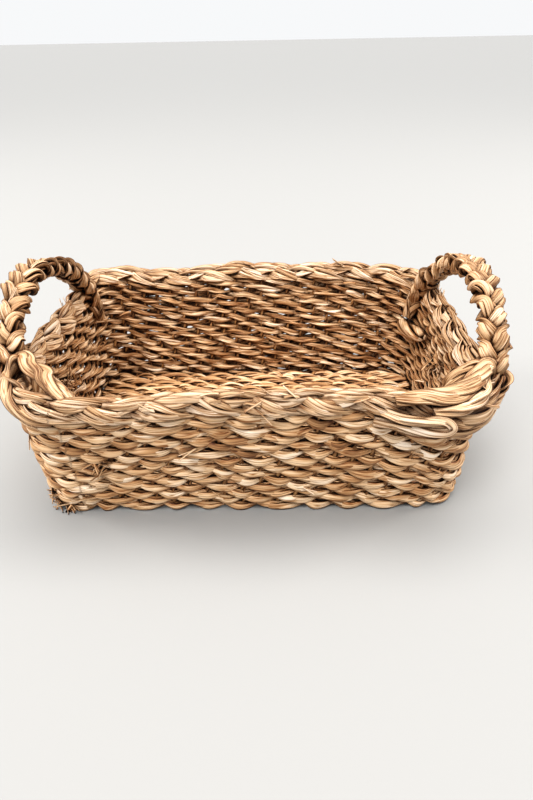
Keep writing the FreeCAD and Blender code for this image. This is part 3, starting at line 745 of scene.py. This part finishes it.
def build_handle(side, name, material):
    """A plaited loop. Its front tails spread over the rim's corner, and its back narrows inside the wall."""
    first, plait_end, last = np.radians((14, 140, 178))
    fine = np.linspace(first, last, 400)
    run = distance_along(handle_line(side, fine))
    number = 420
    even = np.linspace(0, run[-1], number)
    turn = np.interp(even, run, fine)
    centre = handle_line(side, turn)
    along = heading(centre)
    wide_way = square_to(np.array([float(side), 0.0, 0.0]), along)
    deep_way = np.cross(wide_way, along) * side
    closing = ease_in_out(np.clip((turn - plait_end) / (last - plait_end), 0, 1))
    period = 43 * MM
    turns = np.cumsum(np.full(number, even[1] / period) * (1 - 0.75 * closing))
    half_wide, half_deep = 5.9 * MM, 4.1 * MM
    ends_out = 6.5 * MM
    lean = (0.5 * drift(900 + side, even / (26 * MM), 40))[:, None]
    wide_way, deep_way = (wide_way * np.cos(lean) + deep_way * np.sin(lean),
                          deep_way * np.cos(lean) - wide_way * np.sin(lean))
    bands = LEFT_BANDS if side < 0 else RIGHT_BANDS
    for strand in range(3):
        weave = Weave()
        phase = 2 * np.pi * (turns[0] + strand / 3)
        start = centre[0] + wide_way[0] * half_wide * np.sin(phase)
        start = start + deep_way[0] * half_deep * np.sin(2 * phase)
        places, face = bands[strand]
        points = [by_rim(side, *place) for place in places]
        points = smooth_path(points[::-1] + [start - along[0] * 3 * MM], 60)
        seed = HANDLE_SEED + 500 * (side > 0) + 77 * strand
        plait_strand(weave, centre, wide_way, deep_way, turns, strand, half_wide, half_deep, HANDLE_BUNDLE,
                     seed, open_by=1 - 0.55 * closing, tail=(points, turned_to_side(side, face)),
                     squeeze=0.2, uneven=0.28, wrap=True, tone_shift=-0.6, shade_low=0.6)
        if strand == 0:
            for extra, (places, face) in enumerate(bands[3:]):
                points = smooth_path([centre[8]] + [by_rim(side, *place) for place in places], 60)
                seed = BAND_SEED + 50 * extra + (side > 0)
                leaf_band(weave, points, turned_to_side(side, face), HANDLE_BUNDLE, seed, -0.4)

            def place_at(rng, count):
                at = rng.integers(30, number - 60, count)
                spin = rng.uniform(0, 2 * np.pi, count)[:, None]
                out = wide_way[at] * np.cos(spin) + deep_way[at] * np.sin(spin)
                return centre[at] + out * ends_out, out, along[at]

            loose_ends(weave, place_at, 8, HANDLE_ENDS_SEED + side, length=8 * MM)
        piece_name = f"{name}_handle_plait_{strand + 1}"
        weave.piece(piece_name, material, "plait_leaf", f"{name}_handle_strand_{strand + 1}")


def build_foot_tie(material):
    """The thick twisted cord under the right handle's back foot."""
    low, high = (np.array(corner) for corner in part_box("right_foot_tie"))
    middle_x = (low[0] + high[0]) / 2
    path = smooth_path([
        [middle_x - 1 * MM, high[1], low[2] + 6 * MM],
        [middle_x, high[1] * 0.7 + low[1] * 0.3, low[2] + 8 * MM],
        [middle_x + 1 * MM, low[1], high[2] - 6 * MM]], 80)
    weave = Weave()
    share = np.linspace(0, 1, len(path))
    swell = 0.6 + 0.4 * np.clip(4 * share * (1 - share) * 1.8, 0, 1)
    thickest = 6.3 * MM
    twisted_cord(weave, path, thickest * swell, FOOT_TIE_SEED, tone=-0.1, twist=170 * MM, leaves=3,
                 leaf_share=0.62)
    weave.piece("right_foot_tie_cord", material, "plait_leaf", "right_foot_tie")


# ---------------------------------------------------------------- materials
def node(tree, kind, **values):
    """Adds a shader node with the values set on it."""
    made = tree.nodes.new(kind)
    for key, value in values.items():
        setattr(made, key, value)
    return made


def leaf_material(name, colours):
    """Dried leaf: long fine fibres, uneven colour along each leaf, and near black painted shade deep between
    strands, with painted shade also where strands tuck under, in its folds and along its margins.
    """
    material = bpy.data.materials.new(name)
    material.use_nodes = True
    tree = material.node_tree
    tree.nodes.clear()
    link = tree.links.new
    out = node(tree, "ShaderNodeOutputMaterial")
    skin = node(tree, "ShaderNodeBsdfPrincipled")
    link(skin.outputs[0], out.inputs[0])
    grain = node(tree, "ShaderNodeAttribute", attribute_name="grain")
    tone = node(tree, "ShaderNodeAttribute", attribute_name="tone")
    shade = node(tree, "ShaderNodeAttribute", attribute_name="shade")
    edge = node(tree, "ShaderNodeAttribute", attribute_name="edge")

    def noise(scale, detail, roughness):
        stretch = node(tree, "ShaderNodeVectorMath", operation="MULTIPLY")
        stretch.inputs[1].default_value = scale
        link(grain.outputs["Vector"], stretch.inputs[0])
        texture = node(tree, "ShaderNodeTexNoise")
        texture.inputs["Scale"].default_value = 1.0
        texture.inputs["Detail"].default_value = detail
        texture.inputs["Roughness"].default_value = roughness
        link(stretch.outputs[0], texture.inputs["Vector"])
        return texture.outputs["Fac"]

    def maths(operation, a, b):
        made = node(tree, "ShaderNodeMath", operation=operation)
        for slot, value in enumerate((a, b)):
            if isinstance(value, (int, float)):
                made.inputs[slot].default_value = value
            else:
                link(value, made.inputs[slot])
        return made.outputs[0]

    def ramp(value, stops):
        made = node(tree, "ShaderNodeValToRGB")
        elements = made.color_ramp.elements
        while len(elements) < len(stops):
            elements.new(0.5)
        for element, (place, colour) in zip(elements, stops):
            element.position = place
            element.color = (*colour, 1)
        link(value, made.inputs[0])
        return made.outputs[0]

    def multiply(a, b):
        made = node(tree, "ShaderNodeMix", data_type="RGBA", blend_type="MULTIPLY")
        made.inputs["Factor"].default_value = 1.0
        link(a, made.inputs["A"])
        link(b, made.inputs["B"])
        return made.outputs["Result"]

    fibre = noise((55, 2300, 3.1), 4.0, 0.65)
    band = noise((38, 260, 7.7), 2.0, 0.5)
    fold = noise((24, 480, 5.3), 1.0, 0.5)
    fold = maths("ABSOLUTE", maths("SUBTRACT", fold, 0.5), 0.0)
    mixed = maths("ADD", maths("MULTIPLY", fibre, 0.6), maths("MULTIPLY", band, 0.9))
    mixed = maths("ADD", mixed, maths("MULTIPLY", tone.outputs["Fac"], 0.26))
    mixed = maths("SUBTRACT", mixed, 0.23)
    leaf = ramp(mixed, list(zip((0.15, 0.38, 0.60, 0.88), colours)))
    # Painted shade: ambient occlusion within 9 mm darkens the colour to near black in the crevices between
    # strands.
    hollow = node(tree, "ShaderNodeAmbientOcclusion")
    hollow.samples = 6
    hollow.inputs["Distance"].default_value = 0.009
    unchanged = (1.0, 1.0, 1.0)
    painted_crevice_shade = ramp(hollow.outputs["AO"], [
        (0.14, (0.010, 0.005, 0.002)),
        (0.40, (0.27, 0.155, 0.075)),
        (0.66, (0.90, 0.84, 0.76)),
        (0.82, unchanged)])
    # Painted shade where a strand lies low or is tucked under another, read from the shade attribute.
    painted_tuck_shade = ramp(shade.outputs["Fac"], [
        (0.2, (0.22, 0.12, 0.055)),
        (0.72, unchanged)])
    # Painted shade: a dark outline along each leaf's margins.
    margin = ramp(edge.outputs["Fac"], [
        (0.72, unchanged),
        (0.90, (0.80, 0.65, 0.48)),
        (1.0, (0.24, 0.12, 0.05))])
    # Painted shade in the fold lines that run along each leaf.
    painted_fold_shade = ramp(fold, [
        (0.0, (0.36, 0.22, 0.12)),
        (0.016, (0.62, 0.48, 0.34)),
        (0.045, unchanged)])
    surface = multiply(multiply(leaf, painted_tuck_shade), multiply(margin, painted_fold_shade))
    link(multiply(surface, painted_crevice_shade), skin.inputs["Base Color"])
    link(maths("ADD", maths("MULTIPLY", fibre, 0.3), 0.38), skin.inputs["Roughness"])
    skin.inputs["Specular IOR Level"].default_value = 0.4
    bump = node(tree, "ShaderNodeBump")
    bump.inputs["Strength"].default_value = 0.7
    bump.inputs["Distance"].default_value = 0.0007
    groove = maths("MINIMUM", maths("MULTIPLY", fold, 9.0), 1.0)
    link(maths("ADD", groove, maths("MULTIPLY", fibre, 0.5)), bump.inputs["Height"])
    link(bump.outputs[0], skin.inputs["Normal"])
    return material


def floor_material():
    """Plain pale matt."""
    material = bpy.data.materials.new("pale_floor")
    material.use_nodes = True
    skin = material.node_tree.nodes["Principled BSDF"]
    skin.inputs["Base Color"].default_value = (0.30, 0.298, 0.294, 1)
    skin.inputs["Roughness"].default_value = 0.9
    return material


# ---------------------------------------------------------------- studio
def build_studio():
    """A plain pale floor, two soft suns, a lamp on each side and an even white surround."""
    mesh = bpy.data.meshes.new("floor_plane")
    reach = 30.0
    corners = [(-reach, -reach, 0), (reach, -reach, 0), (reach, reach, 0), (-reach, reach, 0)]
    mesh.from_pydata(corners, [], [(0, 1, 2, 3)])
    mesh.materials.append(floor_material())
    plane = bpy.data.objects.new("floor_plane", mesh)
    bpy.context.scene.collection.objects.link(plane)
    plane.location.z = -0.4 * MM
    world = bpy.data.worlds.new("studio")
    bpy.context.scene.world = world
    world.use_nodes = True
    surround = world.node_tree.nodes["Background"]
    surround.inputs["Color"].default_value = (0.98, 0.99, 1.0, 1)
    surround.inputs["Strength"].default_value = 0.8

    def lamp(name, kind, place, strength, spread, colour):
        """A light that shines from place towards the basket. spread is a sun's angle or an area's size."""
        light = bpy.data.lights.new(name, kind)
        if kind == "SUN":
            light.angle = math.radians(spread)
        else:
            light.shape = "DISK"
            light.size = spread
        light.energy = strength
        light.color = colour
        made = bpy.data.objects.new(name, light)
        made.location = place
        made.rotation_euler = (Vector((0, 0, 0.05)) - Vector(place)).to_track_quat("-Z", "Y").to_euler()
        bpy.context.scene.collection.objects.link(made)

    lamp("key", "SUN", (-0.8, -1.5, 2.8), 2.1, 24, (1.0, 0.98, 0.95))
    lamp("top", "SUN", (0.2, 0.3, 2.6), 2.0, 40, (1.0, 0.99, 0.97))
    lamp("left", "AREA", (-1.7, 0.2, 1.3), 18, 0.8, (1.0, 0.97, 0.92))
    lamp("right", "AREA", (1.7, 0.2, 1.3), 20, 0.8, (1.0, 0.97, 0.92))


def build_camera():
    """The camera: above the basket's front, at the view to be matched. Angles are in radians."""
    place = (0.01593, -0.41726, 0.28907)
    yaw, pitch, roll = -0.014, 0.554, -0.019
    camera = bpy.data.cameras.new("camera")
    camera.lens = 26.74
    camera.sensor_width = 36
    camera.clip_start = 0.01
    made = bpy.data.objects.new("camera", camera)
    forward = Vector((math.sin(yaw) * math.cos(pitch), math.cos(yaw) * math.cos(pitch), -math.sin(pitch)))
    right = Vector((math.cos(yaw), -math.sin(yaw), 0))
    up = right.cross(forward)
    rolled_right = right * math.cos(roll) + up * math.sin(roll)
    rolled_up = up * math.cos(roll) - right * math.sin(roll)
    turn = Matrix((rolled_right, rolled_up, -forward)).transposed().to_4x4()
    made.matrix_world = Matrix.Translation(place) @ turn
    bpy.context.scene.collection.objects.link(made)
    bpy.context.scene.camera = made


weaver = leaf_material("weaver_leaf", (
    (0.18, 0.075, 0.024), (0.53, 0.29, 0.13), (0.79, 0.55, 0.335), (0.96, 0.80, 0.64)))
plaited = leaf_material("plait_leaf", (
    (0.22, 0.105, 0.040), (0.53, 0.33, 0.175), (0.72, 0.52, 0.35), (0.85, 0.71, 0.58)))
corded = leaf_material("stake_cord", (
    (0.12, 0.05, 0.015), (0.32, 0.16, 0.06), (0.50, 0.28, 0.12), (0.66, 0.42, 0.22)))

for course in range(COURSES):
    build_course(course, weaver)
build_floor("floor_weave_1", 0, "floor_upper_strands", weaver)
build_floor("floor_weave_2", 1, "floor_lower_strands", weaver)
build_stakes(corded)
build_rim(plaited)
build_handle(-1, "left", plaited)
build_handle(1, "right", plaited)
build_foot_tie(plaited)
build_studio()
build_camera()
bpy.context.scene.view_settings.view_transform = "Standard"
bpy.context.scene.view_settings.look = "Medium High Contrast"
